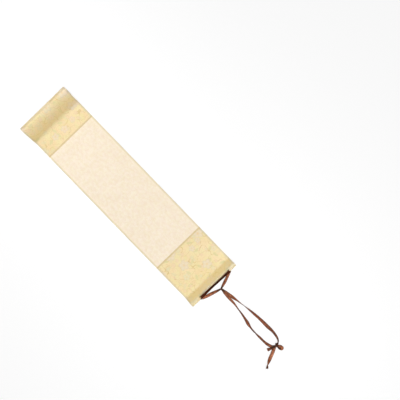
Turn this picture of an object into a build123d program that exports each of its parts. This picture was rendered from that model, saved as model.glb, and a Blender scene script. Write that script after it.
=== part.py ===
from build123d import *

import os
from math import cos, radians, sin, tan

# Small blank hanging scroll, unrolled and lying face up, in millimetres.
# Y runs along the sheet from the foot roller to the hanging rod, X across it, Z up from the table.
# The origin is on the table, midway between the scroll's ends, without its ribbon.

# Sheet
scroll_length = 415.5
sheet_width = 100.4
backing_thickness = 0.25
face_thickness = 0.25

# Panels, each length from the scroll's own end to the middle of the divider
foot_panel_length = 66.0
head_panel_length = 88.5
divider_width = 2.8
side_strip_width = 4.0

# Foot roller, and the sheet's way down from it to the table
roller_radius = 8.5
dowel_chamfer = 0.5
roller_end_inset = 0.4
foot_lift_angle = 20.0
foot_crown_radius = 22.0
foot_ramp_angle = 43.0
foot_toe_radius = 11.0
foot_tail_gap_angle = 36.0

# Hanging rod, and the sheet's way down from it to the table
rod_radius = 4.25
rod_end_inset = 0.4
head_lift_angle = 30.0
head_crown_radius = 5.0
head_ramp_angle = 41.0
head_toe_radius = 5.0
head_tail_gap_angle = 38.0

# Ribbon
ribbon_width = 6.0
ribbon_thickness = 0.4
run_left_x = -32.9
run_right_x = 28.8
run_centre_angle = 57.0
fold_half_width = 2.5
fold_low_angle = -12.0
half_knot_place = (-4.1, 11.9)
half_knot_radius = 2.6
half_knot_height = 3.2
end_knot_place = (-7.6, 143.3)
end_knot_radius = 3.6
end_knot_height = 4.4
knot_rounding = 0.4

# Route of each half of the ribbon, from its fold on the rod to its cut end.
# X is from the scroll's middle, Y from its head end and Z from the table, and so are the knots' places.
right_route = [
    (28.8, 3.5, 5.4),
    (20.5, 4.9, 4.2),
    (11.0, 7.5, 2.4),
    (3.0, 9.7, 1.6),
    (-4.3, 11.9, 2.2),
    (-5.8, 20.0, 1.4),
    (-7.6, 31.5, 1.0),
    (-9.6, 44.5, 1.8),
    (-11.4, 56.5, 2.9),
    (-12.6, 68.5, 2.8),
    (-14.4, 82.5, 1.5),
    (-16.2, 97.5, 0.7),
    (-16.0, 111.5, 0.8),
    (-16.4, 124.5, 1.8),
    (-14.6, 135.5, 2.4),
    (-11.8, 141.4, 2.4),
    (-6.6, 143.8, 2.8),
    (-0.5, 143.2, 2.6),
    (6.0, 142.2, 1.8),
    (12.9, 140.1, 0.8),
]
left_route = [
    (-32.6, 3.5, 5.4),
    (-24.5, 5.0, 4.2),
    (-16.0, 7.3, 2.4),
    (-9.6, 9.3, 1.4),
    (-3.8, 11.4, 1.2),
    (-2.6, 19.5, 1.2),
    (-2.2, 30.5, 1.0),
    (-1.8, 41.5, 1.8),
    (-0.6, 53.5, 2.6),
    (1.6, 65.5, 2.2),
    (3.2, 78.5, 0.9),
    (5.8, 91.5, 1.6),
    (6.9, 103.5, 2.4),
    (6.6, 114.5, 2.0),
    (7.0, 124.5, 1.8),
    (4.8, 133.5, 1.0),
    (0.4, 139.9, 1.0),
    (-5.6, 143.4, 1.2),
    (-10.0, 147.7, 1.4),
    (-11.6, 152.9, 1.7),
    (-9.4, 157.4, 1.6),
    (-4.9, 157.0, 1.5),
    (-3.0, 152.6, 1.4),
    (-0.4, 148.6, 1.3),
    (4.4, 147.4, 1.1),
    (10.0, 149.3, 0.9),
    (16.2, 151.8, 0.8),
    (22.6, 154.9, 1.2),
    (28.4, 157.7, 2.4),
    (32.4, 160.4, 2.6),
    (34.9, 163.3, 1.6),
]

# Worked out from the sizes above
sheet_thickness = backing_thickness + face_thickness
roller_wrap_radius = roller_radius + sheet_thickness
rod_wrap_radius = rod_radius + sheet_thickness
foot_end_y = -scroll_length / 2
head_end_y = scroll_length / 2
roller_y = foot_end_y + roller_wrap_radius
rod_y = head_end_y - rod_wrap_radius
foot_divider_y = foot_end_y + foot_panel_length
head_divider_y = head_end_y - head_panel_length

os.makedirs("parts", exist_ok=True)


def wrapped_end(side, dowel_y, dowel_radius, lift, crown, ramp, toe, tail_gap, height):
    """Draw one end of the sheet at a height above its lower face, and give its tail and its toe.

    The line starts at the glued tail, goes round the dowel and over its top, leaves it at the lift angle,
    bends on over the crown, runs straight down the ramp and bends out flat at the toe.
    side is 1 where the sheet leaves the dowel towards +Y, and -1 towards -Y.
    """
    dowel_z = dowel_radius + sheet_thickness
    wrap_radius = dowel_radius + height
    top = (dowel_y, dowel_z + wrap_radius)
    wrap = JernArc(top, (-side, 0), wrap_radius, side * (360 - lift - tail_gap))
    lift_arc = JernArc(top, (side, 0), wrap_radius, -side * lift)
    crown_arc = JernArc(lift_arc @ 1, lift_arc % 1, crown + height, -side * (ramp - lift))
    drop_left = (crown_arc @ 1).Y - height - (toe - height) * (1 - cos(radians(ramp)))
    ramp_line = PolarLine(crown_arc @ 1, drop_left / sin(radians(ramp)), direction=crown_arc % 1)
    toe_arc = JernArc(ramp_line @ 1, ramp_line % 1, toe - height, side * ramp)
    return wrap @ 1, toe_arc @ 1


def foot_end(height):
    return wrapped_end(
        1, roller_y, roller_radius, foot_lift_angle, foot_crown_radius,
        foot_ramp_angle, foot_toe_radius, foot_tail_gap_angle, height,
    )


def head_end(height):
    return wrapped_end(
        -1, rod_y, rod_radius, head_lift_angle, head_crown_radius,
        head_ramp_angle, head_toe_radius, head_tail_gap_angle, height,
    )


def brocade_profile(end_line, edge_y):
    """Closed outline of a brocade panel on top of the backing, from its tail to its edge at edge_y."""
    lower_tail, lower_toe = end_line(backing_thickness)
    upper_tail, upper_toe = end_line(sheet_thickness)
    Line(lower_tail, upper_tail)
    Polyline(lower_toe, (edge_y, backing_thickness), (edge_y, sheet_thickness), upper_toe)


# Backing paper: one sheet from tail to tail
with BuildPart() as backing_sheet:
    with BuildSketch(Plane.YZ):
        with BuildLine():
            lower_foot_tail, lower_foot_toe = foot_end(0)
            upper_foot_tail, upper_foot_toe = foot_end(backing_thickness)
            lower_head_tail, lower_head_toe = head_end(0)
            upper_head_tail, upper_head_toe = head_end(backing_thickness)
            Line(lower_foot_toe, lower_head_toe)
            Line(upper_foot_toe, upper_head_toe)
            Line(lower_foot_tail, upper_foot_tail)
            Line(lower_head_tail, upper_head_tail)
        make_face()
    extrude(amount=sheet_width / 2, both=True)

# Brocade panels, wrapped round the dowels outside the backing
with BuildPart() as foot_brocade:
    with BuildSketch(Plane.YZ):
        with BuildLine():
            brocade_profile(foot_end, foot_divider_y - divider_width / 2)
        make_face()
    extrude(amount=sheet_width / 2, both=True)

with BuildPart() as head_brocade:
    with BuildSketch(Plane.YZ):
        with BuildLine():
            brocade_profile(head_end, head_divider_y + divider_width / 2)
        make_face()
    extrude(amount=sheet_width / 2, both=True)

# Dividers across the sheet between each brocade panel and the picture paper
with BuildPart() as foot_divider:
    with BuildSketch(Plane.XY.offset(backing_thickness)):
        with Locations((0, foot_divider_y)):
            Rectangle(sheet_width, divider_width)
    extrude(amount=face_thickness)

with BuildPart() as head_divider:
    with BuildSketch(Plane.XY.offset(backing_thickness)):
        with Locations((0, head_divider_y)):
            Rectangle(sheet_width, divider_width)
    extrude(amount=face_thickness)

# Picture paper between the dividers, with a narrow strip along each long edge
picture_length = head_divider_y - foot_divider_y - divider_width
picture_y = (head_divider_y + foot_divider_y) / 2
picture_width = sheet_width - 2 * side_strip_width
strip_x = (sheet_width - side_strip_width) / 2

with BuildPart() as picture_paper:
    with BuildSketch(Plane.XY.offset(backing_thickness)):
        with Locations((0, picture_y)):
            Rectangle(picture_width, picture_length)
    extrude(amount=face_thickness)

with BuildPart() as side_strip_left:
    with BuildSketch(Plane.XY.offset(backing_thickness)):
        with Locations((-strip_x, picture_y)):
            Rectangle(side_strip_width, picture_length)
    extrude(amount=face_thickness)

with BuildPart() as side_strip_right:
    with BuildSketch(Plane.XY.offset(backing_thickness)):
        with Locations((strip_x, picture_y)):
            Rectangle(side_strip_width, picture_length)
    extrude(amount=face_thickness)

# Wooden dowels inside the wraps, just short of the sheet's edges
with BuildPart() as roller:
    with BuildSketch(Plane.YZ):
        with Locations((roller_y, roller_wrap_radius)):
            Circle(roller_radius)
    extrude(amount=sheet_width / 2 - roller_end_inset, both=True)
    chamfer(roller.edges().filter_by(GeomType.CIRCLE), length=dowel_chamfer)

with BuildPart() as hanging_rod:
    with BuildSketch(Plane.YZ):
        with Locations((rod_y, rod_wrap_radius)):
            Circle(rod_radius)
    extrude(amount=sheet_width / 2 - rod_end_inset, both=True)
    chamfer(hanging_rod.edges().filter_by(GeomType.CIRCLE), length=dowel_chamfer)


def corner_radii(points):
    """Radius of the arc at each inner point: as large as its two runs allow."""
    radii = []
    for before, corner, after in zip(points, points[1:], points[2:]):
        arriving = corner - before
        leaving = after - corner
        half_turn = radians(arriving.get_angle(leaving)) / 2
        radii.append(0.45 * min(arriving.length, leaving.length) / tan(half_turn))
    return radii


def ribbon_band(route):
    """Sweep the ribbon's flat section along a route of straight runs joined by tangent arcs."""
    points = [Vector(x, head_end_y + y, z) for x, y, z in route]
    radii = corner_radii(points)
    with BuildLine() as path:
        FilletPolyline(*points, radius=radii)
    centreline = path.wires()[0]
    heading = centreline % 0
    across = Vector(0, 0, 1).cross(heading)
    with BuildSketch(Plane(origin=centreline @ 0, x_dir=across, z_dir=heading)) as section:
        Rectangle(ribbon_width, ribbon_thickness)
    sweep(section.sketch, path=centreline)
    print("radii", [round(radius, 1) for radius in radii])
    print("path length", round(centreline.length, 1))
    return centreline.length * ribbon_width * ribbon_thickness


def knot(place, radius, height):
    """A rounded knot, standing on the table."""
    x = place[0]
    y = head_end_y + place[1]
    with BuildSketch(Plane.XZ.offset(-y)) as profile:
        with Locations((x, 0)):
            Rectangle(radius, height, align=(Align.MIN, Align.MIN))
        outer_corners = profile.vertices().group_by(Axis.X)[-1]
        fillet(outer_corners, radius=knot_rounding * height)
    revolve(profile.sketch, axis=Axis((x, y, 0), (0, 0, 1)))


def rod_face_band(x_low, x_high, angle_low, angle_high, thickness):
    """A piece of ribbon lying round the wrapped rod, between two angles up from its outer side."""
    inner_radius = rod_wrap_radius
    outer_radius = rod_wrap_radius + thickness
    sweep_angle = angle_high - angle_low
    with BuildSketch(Plane.YZ.offset(x_low)) as profile:
        with BuildLine():
            inner = CenterArc((rod_y, rod_wrap_radius), inner_radius, angle_low, sweep_angle)
            outer = CenterArc((rod_y, rod_wrap_radius), outer_radius, angle_low, sweep_angle)
            Line(inner @ 0, outer @ 0)
            Line(inner @ 1, outer @ 1)
        make_face()
    extrude(profile.sketch, amount=x_high - x_low)


# Ribbon: its run along the rod, a fold at each end, and two halves that cross and are knotted together
run_half_angle = ribbon_width / rod_wrap_radius / radians(1) / 2
run_high_angle = run_centre_angle + run_half_angle
with BuildPart() as left_band:
    left_volume = ribbon_band(left_route)
with BuildPart() as right_band:
    right_volume = ribbon_band(right_route)
print("left band volume", round(left_band.part.volume, 1), "section times length", round(left_volume, 1))
print("right band volume", round(right_band.part.volume, 1), "section times length", round(right_volume, 1))

with BuildPart() as ribbon:
    rod_face_band(
        run_left_x, run_right_x, run_centre_angle - run_half_angle, run_high_angle, ribbon_thickness
    )
    for fold_x in (run_left_x, run_right_x):
        rod_face_band(
            fold_x - fold_half_width, fold_x + fold_half_width,
            fold_low_angle, run_high_angle, 2 * ribbon_thickness,
        )
    add(left_band.part)
    add(right_band.part)
    knot(half_knot_place, half_knot_radius, half_knot_height)
    knot(end_knot_place, end_knot_radius, end_knot_height)

for name, piece in (
    ("backing_sheet", backing_sheet),
    ("foot_brocade", foot_brocade),
    ("head_brocade", head_brocade),
    ("foot_divider", foot_divider),
    ("head_divider", head_divider),
    ("picture_paper", picture_paper),
    ("side_strip_left", side_strip_left),
    ("side_strip_right", side_strip_right),
    ("roller", roller),
    ("hanging_rod", hanging_rod),
    ("ribbon", ribbon),
):
    piece.part.label = name
    export_step(piece.part, f"parts/{name}.step")
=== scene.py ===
from math import pi, radians, tau

import bpy
import numpy as np
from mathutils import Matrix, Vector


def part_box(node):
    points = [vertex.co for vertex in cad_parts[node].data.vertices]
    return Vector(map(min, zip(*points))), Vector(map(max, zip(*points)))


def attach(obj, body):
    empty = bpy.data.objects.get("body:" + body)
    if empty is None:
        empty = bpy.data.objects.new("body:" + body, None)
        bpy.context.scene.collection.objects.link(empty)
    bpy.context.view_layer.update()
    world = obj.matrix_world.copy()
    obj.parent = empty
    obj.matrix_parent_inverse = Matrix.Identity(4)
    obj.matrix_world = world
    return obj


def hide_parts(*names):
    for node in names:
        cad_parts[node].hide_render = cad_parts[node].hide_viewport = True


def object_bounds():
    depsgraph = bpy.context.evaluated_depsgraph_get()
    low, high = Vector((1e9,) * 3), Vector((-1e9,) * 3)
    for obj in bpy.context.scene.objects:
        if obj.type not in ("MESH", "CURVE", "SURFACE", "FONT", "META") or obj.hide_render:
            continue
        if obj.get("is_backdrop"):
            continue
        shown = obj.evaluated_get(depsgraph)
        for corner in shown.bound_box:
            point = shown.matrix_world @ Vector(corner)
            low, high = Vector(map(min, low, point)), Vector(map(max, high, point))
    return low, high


# Small blank hanging scroll, unrolled and lying face up on a pale table, in metres.
# Y runs along the sheet from the foot roller to the hanging rod, X across it, Z up.

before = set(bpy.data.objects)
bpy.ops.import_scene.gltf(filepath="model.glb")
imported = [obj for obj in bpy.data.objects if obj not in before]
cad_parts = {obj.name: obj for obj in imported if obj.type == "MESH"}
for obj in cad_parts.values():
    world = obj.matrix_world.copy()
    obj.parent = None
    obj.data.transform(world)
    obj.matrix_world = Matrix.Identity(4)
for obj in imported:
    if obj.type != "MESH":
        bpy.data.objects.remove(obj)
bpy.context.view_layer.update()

MM = 0.001

# Camera above the table, turned so that the scroll runs from the picture's upper left to its lower right
camera_place = (-0.0991, 0.0856, 1.0)
camera_angles = (-0.708, 0.644, 136.007)
camera_lens = 53.45

# The ribbon, how far apart its rings are, its strips across, and over what length its roll and curl are eased
ribbon_width = 6 * MM
ribbon_thickness = 0.35 * MM
ribbon_step = 0.6 * MM
ribbon_cells = 10
ribbon_ease = 3 * MM
fold_step = 0.3 * MM
fold_ease = 0.9 * MM
flattest_curl = 4

# Curls between which the ribbon goes from smooth to wholly gathered, and its painted shade from none to full
gather_range = (radians(100), radians(210))

# Painted shade on the ribbon near the end knot: how dark it is, where it starts and ends past the head end,
# and over what lengths it grows and fades
darkest_knot_shade = 0.4
knot_shade_from, knot_shade_grow = 112 * MM, 14 * MM
knot_shade_to, knot_shade_fade = 148 * MM, 5 * MM

# The knots' own short turns of ribbon: rings, width and curl
collar_rings, collar_width, collar_curl = 48, 2.6 * MM, 120
knot_rings, knot_width, knot_curl = 120, 3 * MM, 200

# Run along the rod between the two folds, in millimetres and degrees: X, angle up from the rod's outer side,
# gap over the wrapped rod, angle that the run leans to, turn of the ribbon's face from outward, and its curl
run_route = (
    (29.9, 59, 0.4, 66, -20, 40),
    (29.9, 69, 1.4, 72, -160, 70),
    (27.2, 71.5, 1.3, 74, -180, 130),
    (21.0, 71.5, 1.0, 72, -180, 145),
    (12.0, 71.5, 1.05, 71, -180, 178),
    (0.0, 68.5, 1.15, 69, -180, 212),
    (-13.0, 64.8, 1.15, 65, -180, 205),
    (-25.0, 61.8, 1.1, 64, -180, 185),
    (-32.6, 62, 1.3, 66, -180, 120),
    (-35.8, 60, 1.4, 66, -200, 60),
    (-35.6, 56, 0.4, 62, -340, 40),
)

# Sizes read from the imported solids
_, backing_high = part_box("backing_sheet")
_, foot_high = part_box("foot_brocade")
head_low, head_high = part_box("head_brocade")
paper_low, paper_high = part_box("picture_paper")
roller_low, roller_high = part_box("roller")
rod_low, rod_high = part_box("hanging_rod")

half_width = backing_high.x
half_paper = paper_high.x
backing_thickness = paper_low.z
sheet_thickness = paper_high.z
head_end = head_high.y
rod_radius = (rod_high.z - rod_low.z) / 2
rod_y = (rod_high.y + rod_low.y) / 2
rod_z = (rod_high.z + rod_low.z) / 2

# Way of the sheet from each dowel down to the table: angles in degrees, radii of its lower face,
# and how finely it is cut, along the flat and in degrees round the dowels
foot_way = {"lift": 25, "crown": 45 * MM, "ramp": 48.5, "toe": 11 * MM, "tail_gap": 36}
head_way = {"lift": 30, "crown": 5 * MM, "ramp": 38, "toe": 8 * MM, "tail_gap": 38}
cell = 2 * MM
arc_step = 5

# Edges that meet at a wider angle than this, in degrees, are shaded as sharp
sharp_angle = 50

# Waves of the sheet over the table: height, wavelength, direction in degrees, phase in degrees
waves = (
    (0.30 * MM, 118 * MM, 82, 40),
    (0.22 * MM, 71 * MM, 118, 200),
    (0.16 * MM, 46 * MM, 63, 310),
    (0.10 * MM, 29 * MM, 15, 120),
)
calm_length = 30 * MM

# Lift of the sheet's edges: height, wavelength, how it slants across, and how close to the edges it keeps
edge_lift = 0.5 * MM
edge_wavelength = 190 * MM
edge_slant = 9
edge_power = 5

# How much further out the foot ramp reaches at the sheet's sides, and how that grows and fades round its toe
foot_bow = 1.8 * MM
bow_from, bow_grow = -24 * MM, 14 * MM
bow_fade = 25 * MM

# How far the dividers' middles stand out
divider_crown = 0.12 * MM


def make_camera():
    data = bpy.data.cameras.new("camera")
    data.lens = camera_lens
    camera = bpy.data.objects.new("camera", data)
    camera.location = camera_place
    camera.rotation_euler = [radians(angle) for angle in camera_angles]
    bpy.context.scene.collection.objects.link(camera)
    bpy.context.scene.camera = camera


make_camera()


def unit(vectors):
    return vectors / np.linalg.norm(vectors, axis=-1, keepdims=True)


def distances(points):
    """Distance along a line of points, from its first point."""
    return np.concatenate([[0], np.cumsum(np.linalg.norm(np.diff(points, axis=0), axis=1))])


def add_piece(name, points, faces, places, material):
    """Link a mesh piece, ride it on the scroll and keep each point's place on the flat sheet.

    A place is across, along, 1 on the face or -1 on the back, and how gathered the piece is there, 0 to 1,
    which sets the satin's painted shade and its roughness.
    """
    mesh = bpy.data.meshes.new(name)
    mesh.from_pydata(points.tolist(), [], faces.tolist())
    kept = mesh.attributes.new("flat_place", "FLOAT_VECTOR", "POINT")
    kept.data.foreach_set("vector", places[:, :3].astype(np.float32).ravel())
    gathers = mesh.attributes.new("gather_shade", "FLOAT", "POINT")
    gathers.data.foreach_set("value", places[:, 3].astype(np.float32))
    mesh.shade_smooth()
    mesh.set_sharp_from_angle(angle=radians(sharp_angle))
    mesh.materials.append(material)
    piece = bpy.data.objects.new(name, mesh)
    bpy.context.scene.collection.objects.link(piece)
    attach(piece, "root")
    return piece


# Shader nodes


def add_node(tree, kind, *inputs, **settings):
    """Add a shader node with its settings, feed its inputs in order, and give its first output."""
    made = tree.nodes.new("ShaderNode" + kind)
    for name, value in settings.items():
        setattr(made, name, value)
    for socket, value in zip(made.inputs, inputs):
        feed(tree, socket, value)
    return made.outputs[0]


def feed(tree, socket, value):
    if isinstance(value, bpy.types.NodeSocket):
        tree.links.new(value, socket)
    elif value is not None:
        socket.default_value = value


class Pattern:
    """The nodes of one material, with short names for the sums that its pattern needs."""

    def __init__(self, name, **shader_values):
        self.material = bpy.data.materials.new(name)
        self.material.use_nodes = True
        self.tree = self.material.node_tree
        self.shader = self.tree.nodes["Principled BSDF"]
        for socket, value in shader_values.items():
            self.shader.inputs[socket.replace("_", " ")].default_value = value

    def node(self, kind, *inputs, **settings):
        return add_node(self.tree, kind, *inputs, **settings)

    def fill(self, made, **values):
        """Feed a node's inputs by their names."""
        for name, value in values.items():
            feed(self.tree, made.inputs[name], value)
        return made

    def math(self, operation, *inputs):
        return self.node("Math", *inputs, operation=operation)

    def vector(self, operation, *inputs):
        made = self.node("VectorMath", *inputs, operation=operation).node
        return made.outputs["Value" if operation == "LENGTH" else "Vector"]

    def turned(self, vector, angle):
        """A vector turned about Z."""
        return self.node("VectorRotate", vector, (0, 0, 0), (0, 0, 1), angle, rotation_type="AXIS_ANGLE")

    def split(self, vector):
        return self.node("SeparateXYZ", vector).node.outputs

    def join(self, *parts):
        return self.node("CombineXYZ", *parts)

    def place(self):
        """Place on the flat sheet: across, along, and 1 on the face or -1 on the back."""
        return self.node("Attribute", attribute_name="flat_place").node.outputs["Vector"]

    def scaled(self, place, across, along, shift=0.0):
        """A place counted in lengths of its own across and along, moved by a shift."""
        moved = self.vector("MULTIPLY", place, (1 / across, 1 / along, 0))
        return self.vector("ADD", moved, (shift, 0.37 * shift, 0))

    def noise(self, place, dimensions="3D", scale=1.0, detail=2.0, roughness=0.5):
        """Cloudy value round a half."""
        made = self.node("TexNoise", place, noise_dimensions=dimensions).node
        return self.fill(made, Scale=scale, Detail=detail, Roughness=roughness).outputs[0]

    def clouds(self, place, across, along, shift=0.0, detail=2.0, roughness=0.5):
        """Cloudy value round a half on the flat sheet, with clouds of a length across and along."""
        return self.noise(self.scaled(place, across, along, shift), "2D", 1.0, detail, roughness)

    def cells(self, place, randomness):
        """Scattered cells: the place in its cell from its middle, and the cell's random numbers."""
        made = self.node("TexVoronoi", place, voronoi_dimensions="2D").node
        self.fill(made, Scale=1.0, Randomness=randomness)
        local = self.vector("SUBTRACT", place, made.outputs["Position"])
        return local, self.split(made.outputs["Color"])

    def ramp(self, value, low, high, start=0.0, end=1.0):
        """The value as it goes from low to high, eased from start to end."""
        return self.node(
            "MapRange", value, low, high, start, end, interpolation_type="SMOOTHSTEP", clamp=True
        )

    def mix(self, share, first, second, blend="MIX"):
        made = self.node("Mix", data_type="RGBA", blend_type=blend).node
        for index, value in ((0, share), (6, first), (7, second)):
            feed(self.tree, made.inputs[index], value)
        return made.outputs[2]

    def between(self, value, low, high, first, second):
        """The first tone where the value is low, the second where it is high."""
        return self.mix(self.ramp(value, low, high), first, second)

    def laid(self, tone, second, mask, strength):
        """A tone with a second one laid over it where the mask is 1, at a strength from 0 to 1."""
        return self.mix(self.math("MULTIPLY", mask, strength), tone, second)

    def shaded(self, tone, shade):
        """A tone made lighter or darker by a shade."""
        return self.mix(1.0, tone, self.join(shade, shade, shade), "MULTIPLY")

    def colour(self, tone):
        feed(self.tree, self.shader.inputs["Base Color"], tone)

    def roughness(self, value):
        feed(self.tree, self.shader.inputs["Roughness"], value)

    def bump(self, height, depth):
        """Raise the surface by a height from 0 to 1 times a depth in metres."""
        raised = self.math("MULTIPLY", height, depth)
        made = self.fill(self.node("Bump").node, Distance=1.0, Strength=1.0, Height=raised)
        feed(self.tree, self.shader.inputs["Normal"], made.outputs[0])


def linear(red, green, blue):
    """A colour as a screen shows it, 0 to 255, as the shader's linear colour."""
    shares = (np.array([red, green, blue]) / 255).tolist()
    return (*[c / 12.92 if c <= 0.04045 else ((c + 0.055) / 1.055) ** 2.4 for c in shares], 1)


def fibres(pattern, place, length, width, turn):
    """Fine fibres that lie one way: thin stretched streaks, 0 to 1."""
    turned = pattern.turned(place, radians(turn))
    wander = pattern.clouds(place, 3 * length, 3 * length, turn)
    bent = pattern.vector("ADD", turned, pattern.join(0, pattern.math("MULTIPLY", wander, length)))
    streaks = pattern.clouds(bent, length, width, turn, 1)
    return pattern.ramp(streaks, 0.66, 0.74)


def crossed_fibres(pattern, place, first, second):
    """Fibres that lie two ways, each way given by their length and width in millimetres and their turn."""
    ways = [fibres(pattern, place, length * MM, width * MM, turn) for length, width, turn in (first, second)]
    return pattern.math("MAXIMUM", *ways)


def weave_height(pattern, place, pitch):
    """Threads over and under: a small plain weave, 0 to 1."""
    across, along, _ = pattern.split(pattern.scaled(place, pitch / pi, pitch / pi))
    warp = pattern.math("ABSOLUTE", pattern.math("SINE", across))
    weft = pattern.math("ABSOLUTE", pattern.math("SINE", along))
    return pattern.math("MULTIPLY", warp, weft)


def twill_height(pattern, place, pitch):
    """Threads in slanting ridges, each broken where the next one passes over, 0 to 1."""
    across, along, _ = pattern.split(pattern.scaled(place, pitch / tau, pitch / tau))
    slant = pattern.math("SINE", pattern.math("ADD", across, along))
    steps = pattern.math("SINE", along)
    both = pattern.math("MULTIPLY_ADD", slant, 0.35, pattern.math("MULTIPLY", steps, 0.15))
    return pattern.math("ADD", both, 0.5)


def edge_share(pattern, across, low, high):
    """0 over the sheet's width, and 1 from a distance to its edge."""
    return pattern.ramp(pattern.math("ABSOLUTE", across), half_width - high, half_width - low)


def band_share(pattern, along, line, ways, most=1.0):
    """A band across the sheet: it rises, stays and falls at four ways in millimetres past a line."""
    start, full, fade, end = [line + way * MM for way in ways]
    rise = pattern.ramp(along, start, full)
    fall = pattern.ramp(along, fade, end, most, 0.0)
    return pattern.math("MULTIPLY", rise, fall)


# Brocade


def blossoms(pattern, place, spacing, shift, petals):
    """Scattered blossoms: their petals, the rims and veins of those, their hearts and random numbers."""
    local, chance = pattern.cells(pattern.scaled(place, spacing, spacing, shift), 0.85)
    across, along, _ = pattern.split(local)
    turn = pattern.math("MULTIPLY", chance[0], tau)
    angle = pattern.math("ADD", pattern.math("ARCTAN2", along, across), turn)
    wave = pattern.math("COSINE", pattern.math("MULTIPLY", angle, petals / 2))
    scallop = pattern.math("ABSOLUTE", wave)
    size = pattern.ramp(chance[1], 0, 1, 0.17, 0.36)
    outline = pattern.math("MULTIPLY", size, pattern.math("MULTIPLY_ADD", scallop, 0.42, 0.62))
    share = pattern.math("DIVIDE", pattern.vector("LENGTH", local), outline)
    body = pattern.ramp(share, 0.92, 1.0, 1.0, 0.0)
    rim = pattern.math("MULTIPLY", body, pattern.ramp(share, 0.74, 0.86))
    veins = pattern.math("MULTIPLY", pattern.ramp(scallop, 0.12, 0.3, 1.0, 0.0), body)
    heart = pattern.ramp(share, 0.2, 0.3, 1.0, 0.0)
    return body, pattern.math("MAXIMUM", rim, veins), heart, chance


def leaves(pattern, place, spacing, shift):
    """Scattered pointed leaves: their bodies, their midribs and side veins, and random numbers."""
    local, chance = pattern.cells(pattern.scaled(place, spacing, spacing, shift), 0.9)
    turned = pattern.turned(local, pattern.math("MULTIPLY", chance[2], tau))
    across, along, _ = pattern.split(turned)
    taper = pattern.math("POWER", pattern.math("MULTIPLY", along, 3.1), 2.0)
    half = pattern.math("MULTIPLY", pattern.math("SUBTRACT", 1.0, taper), 0.15)
    beside = pattern.math("ABSOLUTE", across)
    body = pattern.ramp(pattern.math("SUBTRACT", half, beside), 0.0, 0.015)
    slant = pattern.math("MULTIPLY_ADD", along, 95.0, pattern.math("MULTIPLY", beside, -70.0))
    side_veins = pattern.ramp(pattern.math("SINE", slant), 0.75, 0.95)
    midrib = pattern.ramp(beside, 0.008, 0.02, 1.0, 0.0)
    ribs = pattern.math("MAXIMUM", midrib, side_veins)
    return body, pattern.math("MULTIPLY", body, ribs), chance


def vines(pattern, place, size, shift, width):
    """Thin winding lines where a cloudy value passes a half."""
    cloud = pattern.clouds(place, size, size, shift, 0.8, 0.4)
    away = pattern.math("ABSOLUTE", pattern.math("SUBTRACT", cloud, 0.5))
    return pattern.ramp(away, 0.4 * width, width, 1.0, 0.0)


def brocade_ground(pattern, place):
    """The silk between the figures: cloudy, with pale slubs across and two tints."""
    slubs = pattern.clouds(place, 9 * MM, 0.3 * MM, 5.1)
    cloud = pattern.clouds(place, 30 * MM, 30 * MM, 1.7)
    tone = pattern.between(cloud, 0.3, 0.7, linear(243, 220, 163), linear(248, 228, 180))
    tone = pattern.laid(tone, linear(251, 234, 192), pattern.ramp(slubs, 0.5, 0.75), 0.45)
    tint = pattern.clouds(place, 11 * MM, 13 * MM, 6.6)
    tinted = pattern.between(tint, 0.38, 0.62, linear(249, 220, 182), linear(238, 228, 166))
    return pattern.mix(0.28, tone, tinted)


def brocade_figures(pattern, place, tone):
    """Vines, leaves and blossoms laid over a tone, and where the cloth is raised by them."""
    large_vines = vines(pattern, place, 15 * MM, 2.3, 0.016)
    small_vines = vines(pattern, place, 6.5 * MM, 8.9, 0.022)
    lines = pattern.math("MAXIMUM", large_vines, pattern.math("MULTIPLY", small_vines, 0.7))
    tone = pattern.laid(tone, linear(222, 191, 126), lines, 0.72)

    leaf, ribs, chance = leaves(pattern, place, 17 * MM, 4.4)
    leaf_tone = pattern.between(chance[0], 0.3, 0.7, linear(229, 219, 160), linear(242, 227, 186))
    tone = pattern.laid(tone, leaf_tone, leaf, 0.65)
    tone = pattern.laid(tone, linear(222, 200, 144), ribs, 0.5)

    small, small_lines, _, chance = blossoms(pattern, place, 12 * MM, 9.2, 5)
    small_tone = pattern.between(chance[2], 0.35, 0.65, linear(246, 219, 180), linear(237, 226, 184))
    shown = pattern.ramp(chance[0], 0.42, 0.44)
    tone = pattern.laid(tone, small_tone, small, pattern.math("MULTIPLY", shown, 0.65))
    tone = pattern.laid(tone, linear(226, 192, 142), small_lines, pattern.math("MULTIPLY", shown, 0.45))

    large, large_lines, heart, chance = blossoms(pattern, place, 27 * MM, 0.6, 5)
    cool = pattern.between(chance[0], 0.45, 0.55, linear(242, 224, 197), linear(246, 223, 195))
    petal_tone = pattern.between(chance[2], 0.6, 0.7, cool, linear(239, 226, 188))
    tone = pattern.laid(tone, petal_tone, large, 0.75)
    tone = pattern.laid(tone, linear(222, 200, 164), large_lines, 0.35)
    tone = pattern.laid(tone, linear(241, 209, 146), heart, 0.6)

    petals = pattern.math("MAXIMUM", large, small)
    return tone, pattern.math("MAXIMUM", petals, pattern.math("MAXIMUM", leaf, lines))


def brocade_painted_shade(pattern, along, tone):
    """Painted shade and light laid over a tone: a warmer tone where the ramps lie in shade, a lighter one on
    the head ramp, and a greyish painted shade on the dowels' outer sides.
    """
    foot_ramp_shade = band_share(pattern, along, foot_toe, (-29, -16, -11, -5))
    head_ramp_shade = band_share(pattern, along, head_toe, (2, 5, 13, 17))
    ramp_shade = pattern.math("MAXIMUM", foot_ramp_shade, head_ramp_shade)
    tone = pattern.laid(tone, linear(246, 211, 132), ramp_shade, 0.38)
    tone = pattern.laid(tone, linear(255, 230, 162), head_ramp_shade, 0.3)
    roller_side_shade = band_share(pattern, along, roller_turn, (-16, -9, 8, 13))
    rod_side_shade = band_share(pattern, along, rod_turn, (-4.5, -2, 0, 3), 0.5)
    return pattern.laid(tone, linear(190, 171, 130), pattern.math("MAXIMUM", roller_side_shade, rod_side_shade), 0.5)


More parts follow.
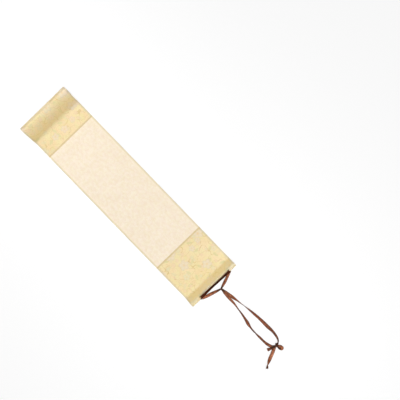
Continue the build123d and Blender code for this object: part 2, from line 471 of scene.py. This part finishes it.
def brocade_material():
    """Yellow figured brocade: scattered blossoms, leaves and vines in twill silk, with darker cut edges, and
    painted shade on the ramps and round the dowels.
    """
    pattern = Pattern(
        "yellow_brocade", Specular_IOR_Level=0.35, Sheen_Weight=0.12, Sheen_Roughness=0.45,
        Sheen_Tint=(1.0, 0.93, 0.74, 1),
    )
    place = pattern.place()
    across, along, _ = pattern.split(place)
    tone, raised = brocade_figures(pattern, place, brocade_ground(pattern, place))
    threads = twill_height(pattern, place, 0.36 * MM)
    tone = pattern.shaded(tone, pattern.ramp(threads, 0, 1, 0.94, 1.03))
    # Painted shade on the ramps and on the dowels' outer sides
    tone = brocade_painted_shade(pattern, along, tone)
    edge = edge_share(pattern, across, 1.8 * MM, 3.4 * MM)
    pattern.colour(pattern.laid(tone, linear(208, 194, 164), edge, 0.5))
    pattern.roughness(pattern.ramp(raised, 0, 1, 0.62, 0.48))
    pattern.bump(pattern.math("MULTIPLY_ADD", raised, 0.8, threads), 0.045 * MM)
    return pattern.material


# Papers, strips and wood


def paper_material():
    """Cream paper: cloudy and mottled, with pale and dark fibres and a faint tooth."""
    pattern = Pattern("cream_paper", Roughness=0.85, Specular_IOR_Level=0.2)
    place = pattern.place()
    clouds = pattern.clouds(place, 22 * MM, 22 * MM, 3.1, 4, 0.6)
    tone = pattern.between(clouds, 0.3, 0.7, linear(248, 231, 204), linear(254, 240, 218))
    tint = pattern.clouds(place, 7 * MM, 9 * MM, 8.3)
    tinted = pattern.between(tint, 0.35, 0.65, linear(253, 234, 218), linear(251, 237, 206))
    tone = pattern.mix(0.45, tone, tinted)
    mottle = pattern.clouds(place, 4.5 * MM, 5.5 * MM, 4.2, 3, 0.6)
    mottled = pattern.between(mottle, 0.32, 0.68, linear(244, 226, 197), linear(255, 244, 226))
    tone = pattern.mix(0.4, tone, mottled)
    dark = crossed_fibres(pattern, place, (9, 0.35, 23), (7, 0.30, 101))
    tone = pattern.laid(tone, linear(236, 211, 172), dark, 0.35)
    pale = fibres(pattern, place, 8 * MM, 0.4 * MM, 157)
    pattern.colour(pattern.laid(tone, linear(255, 247, 233), pale, 0.5))
    tooth = pattern.clouds(place, 0.5 * MM, 0.5 * MM, 0, 3, 0.6)
    pattern.bump(tooth, 0.03 * MM)
    return pattern.material


def backing_material():
    """White backing paper: cloudy, with long fibres and a coarse tooth."""
    pattern = Pattern("backing_paper", Roughness=0.9, Specular_IOR_Level=0.2)
    place = pattern.place()
    clouds = pattern.clouds(place, 14 * MM, 14 * MM, 2.2, 4, 0.65)
    tone = pattern.between(clouds, 0.3, 0.7, linear(236, 229, 212), linear(246, 241, 228))
    strands = crossed_fibres(pattern, place, (12, 0.4, 12), (9, 0.35, 77))
    pattern.colour(pattern.laid(tone, linear(252, 249, 241), strands, 0.5))
    tooth = pattern.clouds(place, 0.6 * MM, 0.6 * MM, 0, 4, 0.65)
    pattern.bump(pattern.math("MULTIPLY_ADD", strands, 0.4, tooth), 0.06 * MM)
    return pattern.material


def divider_material():
    """Ochre woven strip: a plain weave, darker towards the sheet's cut edges."""
    pattern = Pattern("ochre_strip", Roughness=0.66, Specular_IOR_Level=0.3)
    place = pattern.place()
    across = pattern.split(place)[0]
    slubs = pattern.clouds(place, 5 * MM, 0.25 * MM, 3.3)
    tone = pattern.between(slubs, 0.35, 0.7, linear(224, 199, 146), linear(237, 215, 168))
    weave = weave_height(pattern, place, 0.3 * MM)
    tone = pattern.shaded(tone, pattern.ramp(weave, 0, 1, 0.92, 1.02))
    edge = edge_share(pattern, across, 0.2 * MM, 1.5 * MM)
    pattern.colour(pattern.laid(tone, linear(198, 172, 122), edge, 0.4))
    pattern.bump(weave, 0.05 * MM)
    return pattern.material


def side_strip_material():
    """Pale silk strip: darker towards the sheet's cut edge, with a pale woven line beside the paper."""
    pattern = Pattern("side_strip", Roughness=0.68, Specular_IOR_Level=0.3)
    place = pattern.place()
    across = pattern.split(place)[0]
    slubs = pattern.clouds(place, 0.25 * MM, 6 * MM, 6.1)
    tone = pattern.between(slubs, 0.35, 0.7, linear(243, 224, 186), linear(248, 231, 198))
    inset = pattern.math("SUBTRACT", half_width, pattern.math("ABSOLUTE", across))
    tone = pattern.between(inset, 2.2 * MM, 3.6 * MM, tone, linear(253, 240, 214))
    tone = pattern.mix(pattern.ramp(inset, 1.5 * MM, 3.1 * MM, 0.7, 0.0), tone, linear(236, 220, 184))
    tone = pattern.mix(pattern.ramp(inset, 0.2 * MM, 0.9 * MM, 0.35, 0.0), tone, linear(214, 198, 164))
    weave = weave_height(pattern, place, 0.28 * MM)
    pattern.colour(pattern.shaded(tone, pattern.ramp(weave, 0, 1, 0.95, 1.02)))
    pattern.bump(weave, 0.035 * MM)
    return pattern.material


def wood_material():
    """Plain sanded wood: growth rings on the ends, long grain and pores along the dowel."""
    pattern = Pattern("dowel_wood", Specular_IOR_Level=0.3)
    coordinates = pattern.node("TexCoord").node.outputs["Object"]
    drift = pattern.noise(coordinates, scale=160.0)
    _, y, z = pattern.split(coordinates)
    from_pith = pattern.vector("LENGTH", pattern.join(0, y, pattern.math("ADD", z, 12 * MM)))
    reach = pattern.math("ADD", from_pith, pattern.math("MULTIPLY", drift, 1.6 * MM))
    rings = pattern.math("SINE", pattern.math("MULTIPLY", reach, tau / (1.3 * MM)))
    late = pattern.ramp(rings, 0.1, 0.95)
    tone = pattern.mix(late, linear(222, 194, 150), linear(198, 162, 112))
    long_pores = pattern.vector("MULTIPLY", coordinates, (90.0, 2600.0, 2600.0))
    pores = pattern.ramp(pattern.noise(long_pores, roughness=0.6), 0.6, 0.72)
    pattern.colour(pattern.laid(tone, linear(156, 118, 76), pores, 0.5))
    pattern.roughness(pattern.ramp(late, 0, 1, 0.62, 0.5))
    pattern.bump(pattern.math("MULTIPLY", pores, -1.0), 0.04 * MM)
    return pattern.material


def satin_material(name, face, back, shine, gathered):
    """Brown satin: a shiny face, a duller back, fine threads along the ribbon, and painted shade along its
    edges and where it is gathered.

    Face and back are each a dark and a light tone. How dark the painted shade of the gathers is goes from 0
    to 1.
    """
    pattern = Pattern(
        name, Specular_IOR_Level=shine, Specular_Tint=(0.95, 0.5, 0.32, 1), Anisotropic=0.4,
        Sheen_Weight=0.1, Sheen_Roughness=0.4, Sheen_Tint=(0.8, 0.4, 0.3, 1),
    )
    place = pattern.place()
    across, along, side = pattern.split(place)
    streaks = pattern.clouds(place, 0.35 * MM, 14 * MM, 0, 3, 0.6)
    threads = pattern.clouds(place, 0.12 * MM, 5 * MM, 7.7)
    bands = pattern.clouds(place, 9 * MM, 5 * MM, 3.9)
    shade = pattern.math("MULTIPLY_ADD", threads, 0.3, pattern.ramp(streaks, 0.35, 0.68))
    shade = pattern.math("MULTIPLY_ADD", shade, 0.45, pattern.ramp(bands, 0.35, 0.65, 0.0, 0.55))
    tone = pattern.between(side, -1, 1, pattern.mix(shade, *back), pattern.mix(shade, *face))
    # Painted shade along the ribbon's edges
    edge_shade = pattern.ramp(pattern.math("ABSOLUTE", across), 1.9 * MM, 2.6 * MM)
    tone = pattern.laid(tone, (0.025, 0.007, 0.004, 1), edge_shade, 0.8)
    # Painted shade where the ribbon is gathered or near the end knot; the same value also makes it rougher
    gather_shade = pattern.node("Attribute", attribute_name="gather_shade").node.outputs["Fac"]
    pattern.colour(pattern.laid(tone, (0.012, 0.003, 0.0015, 1), gather_shade, gathered))
    smooth = pattern.ramp(side, -1, 1, 0.52, 0.36)
    pattern.roughness(pattern.math("MULTIPLY_ADD", gather_shade, 0.3, smooth))
    ribs = pattern.math("SINE", pattern.math("MULTIPLY", along, tau / (0.45 * MM)))
    pattern.bump(pattern.math("MULTIPLY_ADD", ribs, 0.15, threads), 0.02 * MM)
    return pattern.material


# Ribbon

satin = satin_material(
    "brown_satin", shine=0.6, gathered=0.96,
    face=((0.12, 0.03, 0.012, 1), (0.42, 0.14, 0.064, 1)),
    back=((0.09, 0.023, 0.01, 1), (0.29, 0.088, 0.042, 1)),
)
# A darker copy of the satin with painted shade, for the run along the rod and the knots
shaded_satin = satin_material(
    "shaded_satin", shine=0.15, gathered=0.4,
    face=((0.035, 0.007, 0.002, 1), (0.13, 0.03, 0.01, 1)),
    back=((0.032, 0.006, 0.0025, 1), (0.11, 0.025, 0.009, 1)),
)

# Points of each half from its fold on the rod to its cut end, in millimetres: X from the scroll's middle,
# Y from its head end and Z from the table. Then the roll of the ribbon's face from level, and its curl
# across its width, in degrees.
right_route = (
    (29.0, -0.3, 8.0, -30, 40),
    (26.3, 1.0, 7.5, -26, 30),
    (20.5, 3.4, 5.2, -14, 65),
    (12.0, 6.2, 2.6, 10, 110),
    (3.0, 8.7, 1.6, 35, 150),
    (-4.9, 11.1, 2.2, 60, 290),
    (-6.3, 19.5, 1.4, 25, 150),
    (-7.7, 31.5, 1.0, 10, 110),
    (-10.7, 43.5, 2.2, 70, 90),
    (-11.7, 54.5, 2.9, 92, 60),
    (-13.6, 64.5, 2.7, 114, 30),
    (-15.2, 80.5, 1.5, 142, 60),
    (-16.3, 95.5, 0.7, 158, 90),
    (-16.1, 110.0, 0.5, 180, 20),
    (-16.8, 122.0, 1.6, 215, 130),
    (-15.6, 131.5, 2.2, 224, 115),
    (-13.9, 138.2, 2.4, 238, 140),
    (-11.2, 142.4, 2.8, 260, 190),
    (-5.6, 143.8, 3.9, 290, 250),
    (0.0, 142.8, 3.9, 320, 230),
    (5.6, 141.7, 2.6, 345, 190),
    (11.6, 139.7, 0.9, 360, 70),
)
left_route = (
    (-34.4, -0.2, 7.9, 30, 60),
    (-31.2, 1.4, 7.3, 26, 85),
    (-24.6, 4.2, 4.9, 14, 135),
    (-16.2, 7.1, 2.4, -12, 120),
    (-9.6, 8.8, 1.4, -35, 150),
    (-4.4, 10.6, 1.2, -60, 290),
    (-3.3, 19.0, 1.2, -15, 150),
    (-2.8, 30.5, 1.0, -15, 110),
    (-2.6, 41.5, 1.8, -40, 90),
    (-1.4, 53.5, 2.6, -76, 150),
    (0.4, 65.5, 2.2, -116, 120),
    (2.9, 78.5, 1.4, -140, 100),
    (5.0, 91.5, 1.6, -232, 100),
    (6.1, 103.5, 2.3, -256, 190),
    (5.2, 114.5, 2.0, -312, 130),
    (5.2, 124.5, 1.8, -318, 180),
    (4.7, 131.5, 1.4, -335, 130),
    (3.3, 137.6, 1.2, -345, 120),
    (1.6, 141.4, 1.1, -355, 180),
    (-4.0, 144.4, 1.5, -350, 260),
    (-6.9, 146.8, 2.0, -335, 210),
    (-8.0, 148.8, 2.4, -340, 130),
    (-9.0, 150.8, 2.6, -345, 130),
    (-9.5, 152.8, 2.6, -345, 110),
    (-9.2, 154.6, 2.6, -342, 80),
    (-8.1, 155.8, 2.6, -335, 70),
    (-6.5, 155.8, 2.6, -320, 100),
    (-5.2, 154.6, 2.5, -305, 160),
    (-4.5, 152.7, 2.3, -300, 210),
    (-4.4, 150.5, 2.1, -305, 220),
    (-4.8, 148.6, 1.8, -315, 235),
    (-5.1, 147.0, 1.5, -335, 240),
    (-4.1, 145.5, 1.2, -355, 240),
    (-1.5, 144.9, 1.2, -362, 170),
    (2.2, 146.0, 1.2, -365, 90),
    (8.2, 149.1, 1.0, -360, 30),
    (15.2, 151.9, 0.8, -360, 30),
    (21.9, 154.3, 1.4, -396, 60),
    (27.2, 156.5, 2.4, -435, 60),
    (30.8, 158.8, 2.6, -490, 150),
    (34.2, 161.6, 2.0, -530, 190),
)


def spline_points(route):
    """Points of the smooth line that a route's points control."""
    data = bpy.data.curves.new("route", "CURVE")
    data.dimensions = "3D"
    data.resolution_u = 24
    spline = data.splines.new("NURBS")
    spline.points.add(len(route) - 1)
    for point, place in zip(spline.points, route):
        point.co = (*place, 1)
    spline.order_u = 3
    spline.use_endpoint_u = True
    holder = bpy.data.objects.new("route", data)
    mesh = bpy.data.meshes.new_from_object(holder)
    points = np.array([vertex.co for vertex in mesh.vertices])
    bpy.data.objects.remove(holder)
    bpy.data.curves.remove(data)
    bpy.data.meshes.remove(mesh)
    return points


def evenly_spaced(points, step):
    along = distances(points)
    at = np.linspace(0, along[-1], round(along[-1] / step) + 1)
    return np.stack([np.interp(at, along, points[:, k]) for k in range(3)], axis=1)


def eased_share(value):
    share = np.clip(value, 0, 1)
    return share * share * (3 - 2 * share)


def knot_shade(line):
    """How much painted shade the ribbon's line gets close to the end knot, 0 to 1."""
    past = line[:, 1] - head_end
    grown = eased_share((past - knot_shade_from) / knot_shade_grow)
    return darkest_knot_shade * grown * eased_share((knot_shade_to - past) / knot_shade_fade)


def spread(values, route, rings, ease):
    """Values given at a route's points, spread over the ribbon's rings and eased."""
    share = distances(route) / distances(route)[-1]
    at = np.linspace(0, 1, rings)
    reach = round(ease * (rings - 1) / distances(route)[-1])
    kernel = np.hanning(2 * reach + 3)[1:-1]
    kernel /= kernel.sum()
    columns = []
    for column in np.atleast_2d(np.transpose(values)):
        rough = np.pad(np.interp(at, share, column), reach, mode="edge")
        columns.append(np.convolve(rough, kernel, mode="valid"))
    return np.stack(columns, axis=1)


def upright_frame(line, roll):
    """The face's direction at each ring: level, then rolled about the ribbon's line."""
    ahead = unit(np.gradient(line, axis=0))
    up = np.array([0, 0, 1])
    level = unit(up - (ahead @ up)[:, None] * ahead)
    beside = np.cross(level, ahead)
    return level * np.cos(roll)[:, None] + beside * np.sin(roll)[:, None]


def ribbon_points(line, face, curl, along, closed, width):
    """Points and places of a ribbon: rings of its face side, then of its back."""
    ahead = unit(np.gradient(line, axis=0))
    if closed:
        ahead = unit(np.roll(line, -1, axis=0) - np.roll(line, 1, axis=0))
    face = unit(face - (face * ahead).sum(1, keepdims=True) * ahead)
    beside = np.cross(face, ahead)
    curl = np.maximum(curl, radians(flattest_curl))[:, None]
    share = np.linspace(-0.5, 0.5, ribbon_cells + 1)
    turn = share * curl
    radius = width / curl
    out = radius * np.sin(turn)
    rise = radius * (np.cos(turn) - np.cos(turn).mean(axis=1, keepdims=True))
    middle = line[:, None] + beside[:, None] * out[..., None] + face[:, None] * rise[..., None]
    outward = beside[:, None] * np.sin(turn)[..., None] + face[:, None] * np.cos(turn)[..., None]
    sides = [middle + outward * side * ribbon_thickness / 2 for side in (1, -1)]
    points = np.concatenate([sides[0], sides[1][:, ::-1]], axis=1)
    across = np.concatenate([share, share[::-1]]) * width
    side = np.repeat([1.0, -1.0], ribbon_cells + 1)
    # How gathered each ring is, at least as much as its painted shade near the end knot; it sets the satin's
    # painted shade
    smooth, gathered = gather_range
    gather_shade = np.clip((curl - smooth) / (gathered - smooth), knot_shade(line)[:, None], 1)
    places = np.stack(np.broadcast_arrays(across, along[:, None], side, gather_shade), axis=2)
    return points, places


def ring_faces(rings, around, closed=False):
    """Faces that join rings of points, with a cap of strips on each open end."""
    ring = np.arange(rings if closed else rings - 1)[:, None] * around
    here = np.arange(around)
    after = (here + 1) % around
    ahead = (ring + around) % (rings * around)
    quads = np.stack([ring + here, ring + after, ahead + after, ahead + here], axis=2).reshape(-1, 4)
    if closed:
        return quads
    half = around // 2
    low = np.arange(half - 1)
    cap = np.stack([low, around - 1 - low, around - 2 - low, low + 1], axis=1)
    last = (rings - 1) * around
    return np.concatenate([quads, cap, cap[:, ::-1] + last])


def ribbon_piece(name, line, face, curl, closed=False, width=ribbon_width, cloth=satin):
    """A ribbon along a line, lifted where it would go through the table."""
    along = distances(line)
    points, places = ribbon_points(line, face, curl, along, closed, width)
    lowest = points[..., 2].min(axis=1)
    points[..., 2] += np.maximum(0, -lowest)[:, None]
    faces = ring_faces(len(line), points.shape[1], closed)
    piece = add_piece(name, points.reshape(-1, 3), faces, places.reshape(-1, 4), cloth)
    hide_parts("ribbon")
    return piece


def half_ribbon(route):
    """Line, face directions and curls of one half of the ribbon."""
    table = np.array(route, float)
    control = table[:, :3] * MM + (0, head_end, 0)
    line = evenly_spaced(spline_points(control), ribbon_step)
    roll, curl = np.radians(spread(table[:, 3:], control, len(line), ribbon_ease)).T
    return line, upright_frame(line, roll), curl


def on_rod(x, angle, gap):
    """A place over the wrapped rod, at an angle up from its outer side."""
    reach = rod_radius + sheet_thickness + gap
    return (x * MM, rod_y + reach * np.cos(radians(angle)), rod_z + reach * np.sin(radians(angle)))


def turned_face(lean, turn):
    """The face's direction where the ribbon leans at an angle and is turned back by another."""
    lean, turn = radians(lean), radians(turn)
    return (np.sin(turn), np.cos(lean) * np.cos(turn), np.sin(lean) * np.cos(turn))


right_line, right_face, right_curl = half_ribbon(right_route)
left_line, left_face, left_curl = half_ribbon(left_route)


def ribbon_run():
    """The ribbon's run along the rod, turned back under itself at each end."""
    control, faces, curls = [right_line[0]], [right_face[0]], [right_curl[0]]
    for x, angle, gap, lean, turn, curl in run_route:
        control.append(on_rod(x, angle, gap * MM))
        faces.append(turned_face(lean, turn))
        curls.append(radians(curl))
    control = np.array([*control, left_line[0]])
    faces.append(left_face[0])
    curls.append(left_curl[0])
    line = evenly_spaced(spline_points(control), fold_step)
    eased = spread(np.column_stack([faces, curls]), control, len(line), fold_ease)
    eased[0, :3], eased[-1, :3] = right_face[0], left_face[0]
    eased[0, 3], eased[-1, 3] = right_curl[0], left_curl[0]
    return ribbon_piece("ribbon_run", line, eased[:, :3], eased[:, 3], cloth=shaded_satin)


def closed_ribbon(name, turns, place, face, curl, width):
    """A short closed ribbon: turns round a place, in millimetres from the scroll's middle and head end."""
    line = turns * MM + (place[0] * MM, head_end + place[1] * MM, place[2] * MM)
    curls = np.full(len(line), radians(curl))
    return ribbon_piece(name, line, face, curls, closed=True, width=width, cloth=shaded_satin)


def collar(name, place, radius, tilt):
    """A short turn of gathered ribbon round a knot's middle."""
    at = np.linspace(0, tau, collar_rings, endpoint=False)
    lean = radians(tilt)
    ring = np.column_stack([np.cos(at), np.sin(lean) * np.cos(at), np.sin(at) * np.cos(lean / 2)])
    return closed_ribbon(name, ring * radius, place, ring, collar_curl, collar_width)


def knot_piece(name, place, size, height, turn):
    """A small tight knot of gathered ribbon."""
    at = np.linspace(0, tau, knot_rings, endpoint=False)
    flat = np.stack([np.sin(at) + 2 * np.sin(2 * at), np.cos(at) - 2 * np.cos(2 * at)], axis=1)
    angle = radians(turn)
    spin = np.array([[np.cos(angle), np.sin(angle)], [-np.sin(angle), np.cos(angle)]])
    turns = np.column_stack([flat * np.array(size) / 3 @ spin, -np.sin(3 * at) * height])
    face = upright_frame(turns, np.zeros(len(turns)))
    return closed_ribbon(name, turns, place, face, knot_curl, knot_width)


run_piece = ribbon_run()
right_piece = ribbon_piece("ribbon_right", right_line, right_face, right_curl)
left_piece = ribbon_piece("ribbon_left", left_line, left_face, left_curl)
half_knot = collar("half_knot", (-4.7, 11.0, 1.9), 1.3, 25)
end_knot = knot_piece("end_knot", (-6.9, 143.6, 3.4), (2.4, 2.1), 1.1, 35)


# Sheet


def arc(centre, radius, start, end):
    """Rows along an arc: place out, height and tilt. A negative radius has its centre above."""
    count = max(2, round(abs(np.degrees(end - start)) / arc_step) + 1)
    tilt = np.linspace(start, end, count)
    return np.stack([centre[0] + radius * np.sin(tilt), centre[1] + radius * np.cos(tilt), tilt], axis=1)


def end_rows(dowel_low, dowel_high, way):
    """The sheet's lower face at one end, from its tail round the dowel and down to its toe.

    A row is the distance from the dowel's axis towards the sheet's middle, the height and the tilt.
    """
    dowel_radius = (dowel_high.z - dowel_low.z) / 2
    lift, ramp = radians(way["lift"]), radians(way["ramp"])
    tail = radians(360 - way["tail_gap"]) - lift
    axis = np.array([0, dowel_low.z + dowel_radius])
    wrap = arc(axis, dowel_radius, -tail, lift)
    crown_centre = wrap[-1, :2] - way["crown"] * np.array([np.sin(lift), np.cos(lift)])
    crown = arc(crown_centre, way["crown"], lift, ramp)
    drop = crown[-1, 1] - way["toe"] * (1 - np.cos(ramp))
    foot_of_ramp = crown[-1, :2] + drop / np.sin(ramp) * np.array([np.cos(ramp), -np.sin(ramp)])
    toe_centre = foot_of_ramp + way["toe"] * np.array([np.sin(ramp), np.cos(ramp)])
    toe = arc(toe_centre, -way["toe"], ramp, 0)
    return np.concatenate([wrap[:-1], crown, toe])


def sheet_rows():
    """Rows along the whole sheet's lower face: Y, Z, the face's direction and the distance along it."""
    foot = end_rows(roller_low, roller_high, foot_way)
    head = end_rows(rod_low, rod_high, head_way)[::-1]
    foot_y = (roller_low.y + roller_high.y) / 2 + foot[:, 0]
    head_y = rod_y - head[:, 0]
    flat_y = np.arange(foot_y[-1] + cell, head_y[0] - cell / 2, cell)
    y = np.concatenate([foot_y, flat_y, head_y])
    z = np.concatenate([foot[:, 1], 0 * flat_y, head[:, 1]])
    tilt = np.concatenate([foot[:, 2], 0 * flat_y, -head[:, 2]])
    rows = np.stack([y, z, np.sin(tilt), np.cos(tilt)], axis=1)
    middle = rows[:, :2] + rows[:, 2:] * sheet_thickness / 2
    along = distances(middle)
    first_flat = len(foot)
    return np.column_stack([rows, along - along[first_flat] + y[first_flat]]), foot_y[-1], head_y[0]


rows, foot_toe, head_toe = sheet_rows()
roller_turn = rows[np.argmin(rows[:, 0]), 4]
rod_turn = rows[np.argmax(rows[:, 0]), 4]


def stretch(low, high):
    """The sheet's rows between two distances along it, with rows exactly at its ends."""
    along = rows[:, 4]
    at = np.concatenate([[low], along[(along > low + cell / 4) & (along < high - cell / 4)], [high]])
    return np.stack([np.interp(at, along, rows[:, k]) for k in range(5)], axis=1)


def wave_height(x, along):
    """Height of the sheet's waves over the table, none at its ramps and dowels."""
    calm = eased_share((along - foot_toe) / calm_length) * eased_share((head_toe - along) / calm_length)
    height = 0
    for size, length, direction, phase in waves:
        travel = x * np.cos(radians(direction)) + along * np.sin(radians(direction))
        height = height + size * (1 + np.sin(tau * travel / length + radians(phase))) / 2
    edge = (np.abs(x) / half_width) ** edge_power * edge_lift
    return calm * (height + edge * (1 + np.sin(tau * along / edge_wavelength + x * edge_slant)) / 2)


def ramp_bow(x, along):
    """How far along the foot ramp moves from its straight way, none at the roller and on the flat."""
    past = along - foot_toe
    share = eased_share((past - bow_from) / bow_grow) * eased_share(1 - past / bow_fade)
    return foot_bow * (x / half_width) ** 2 * share


def sheet_piece(name, span, across, low, high, material, slot, crown=0.0):
    """A closed thin sheet between two heights over the sheet's lower face, with a crowned middle."""
    line = stretch(*span)
    count = max(2, round((across[1] - across[0]) / cell) + 1)
    x = np.linspace(*across, count)
    y, z, lean_y, lean_z, along = [column[:, None] for column in line.T]
    rise = wave_height(x[None], along)
    bow = ramp_bow(x[None], along)
    bulge = crown * np.sin(pi * (along - span[0]) / (span[1] - span[0]))
    layers = []
    for lifted in (high + rise + bulge, low + rise):
        layer = (x[None], y + bow + lean_y * lifted, z + lean_z * lifted)
        layers.append(np.stack(np.broadcast_arrays(*layer), axis=2))
    points = np.concatenate([layers[0], layers[1][:, ::-1]], axis=1)
    width = np.concatenate([x, x[::-1]])
    side = np.repeat([1.0, -1.0], count)
    places = np.stack(np.broadcast_arrays(width, along, side, 0.0), axis=2)
    faces = ring_faces(len(line), 2 * count)
    piece = add_piece(name, points.reshape(-1, 3), faces, places.reshape(-1, 4), material)
    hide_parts(name)
    return piece


tail_foot, tail_head = rows[0, 4], rows[-1, 4]
whole_width = (-half_width, half_width)
face_heights = (backing_thickness, sheet_thickness)
brocade = brocade_material()
divider_cloth = divider_material()
strip_cloth = side_strip_material()

backing = sheet_piece(
    "backing_sheet", (tail_foot, tail_head), whole_width, 0.0, backing_thickness,
    backing_material(), "backing_paper",
)
foot_brocade = sheet_piece(
    "foot_brocade", (tail_foot, foot_high.y), whole_width, *face_heights, brocade, "brocade",
)
head_brocade = sheet_piece(
    "head_brocade", (head_low.y, tail_head), whole_width, *face_heights, brocade, "brocade",
)
picture = sheet_piece(
    "picture_paper", (paper_low.y, paper_high.y), (-half_paper, half_paper), *face_heights,
    paper_material(), "picture_paper",
)
for name in ("foot_divider", "head_divider"):
    low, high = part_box(name)
    sheet_piece(
        name, (low.y, high.y), whole_width, *face_heights, divider_cloth, "divider_strip", divider_crown,
    )
for name in ("side_strip_left", "side_strip_right"):
    low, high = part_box(name)
    sheet_piece(name, (low.y, high.y), (low.x, high.x), *face_heights, strip_cloth, "side_strip")

wood = wood_material()
for name in ("roller", "hanging_rod"):
    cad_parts[name].data.materials.clear()
    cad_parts[name].data.materials.append(wood)


# Table and light

# The table's tone, how much of it is its own white where it is seen, and how bright that white is
table_tone = (0.85, 0.85, 0.85, 1)
own_share, own_brightness = 0.75, 1.1

# How bright the world is for the things in it
world_light = 0.29


def seen_share(tree):
    """1 for rays from the camera, a mirror or glass, and 0 for those that light things."""
    rays = tree.nodes.new("ShaderNodeLightPath").outputs
    seen = add_node(tree, "Math", rays["Is Camera Ray"], rays["Is Glossy Ray"], operation="MAXIMUM")
    return add_node(tree, "Math", seen, rays["Is Transmission Ray"], operation="MAXIMUM")


def table_material():
    """Pale table that keeps the shadow: partly lit, and partly its own white where it is seen."""
    material = bpy.data.materials.new("table")
    material.use_nodes = True
    tree = material.node_tree
    tree.nodes.clear()
    share = add_node(tree, "Math", seen_share(tree), own_share, operation="MULTIPLY")
    lit = add_node(tree, "BsdfDiffuse", table_tone)
    own = add_node(tree, "Emission", (1, 1, 1, 1), own_brightness)
    mixed = add_node(tree, "MixShader", share, lit, own)
    out = tree.nodes.new("ShaderNodeOutputMaterial")
    tree.links.new(mixed, out.inputs["Surface"])
    return material


def make_table():
    """A wide flat table, a little under the scroll."""
    reach, drop = 3.0, 0.2 * MM
    mesh = bpy.data.meshes.new("table")
    corners = [(x * reach, y * reach, -drop) for x, y in ((-1, -1), (1, -1), (1, 1), (-1, 1))]
    mesh.from_pydata(corners, [], [(0, 1, 2, 3)])
    mesh.materials.append(table_material())
    table = bpy.data.objects.new("table", mesh)
    bpy.context.scene.collection.objects.link(table)
    table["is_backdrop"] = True


def make_lamp(name, place, aim, size, power, spread_angle=180):
    """A soft square lamp that shines from its place towards its aim."""
    data = bpy.data.lights.new(name, "AREA")
    data.size = size
    data.energy = power
    data.spread = radians(spread_angle)
    lamp = bpy.data.objects.new(name, data)
    lamp.location = place
    direction = np.array(aim) - np.array(place)
    lamp.rotation_euler = Vector(direction).to_track_quat("-Z", "Y").to_euler()
    lamp.visible_camera = False
    bpy.context.scene.collection.objects.link(lamp)


def make_world():
    """White where the camera or a mirror sees it, and a plain even light elsewhere."""
    world = bpy.data.worlds.new("studio")
    bpy.context.scene.world = world
    world.use_nodes = True
    tree = world.node_tree
    strength = add_node(tree, "MapRange", seen_share(tree), 0, 1, world_light, 1.0)
    background = tree.nodes["Background"]
    background.inputs["Color"].default_value = (1, 1, 1, 1)
    tree.links.new(strength, background.inputs["Strength"])


make_table()
make_world()
make_lamp("key", place=(0.05, 0.3, 1.45), aim=(0, 0.05, 0), size=0.5, power=6.45)
make_lamp("beyond_foot", place=(0, -0.75, 0.6), aim=(0, -0.25, 0), size=0.4, power=0.33, spread_angle=40)
make_lamp("beyond_head", place=(0, 0.9, 1.0), aim=(0, 0.25, 0), size=0.4, power=0.405, spread_angle=40)

bpy.context.scene.view_settings.view_transform = "Standard"

low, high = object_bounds()
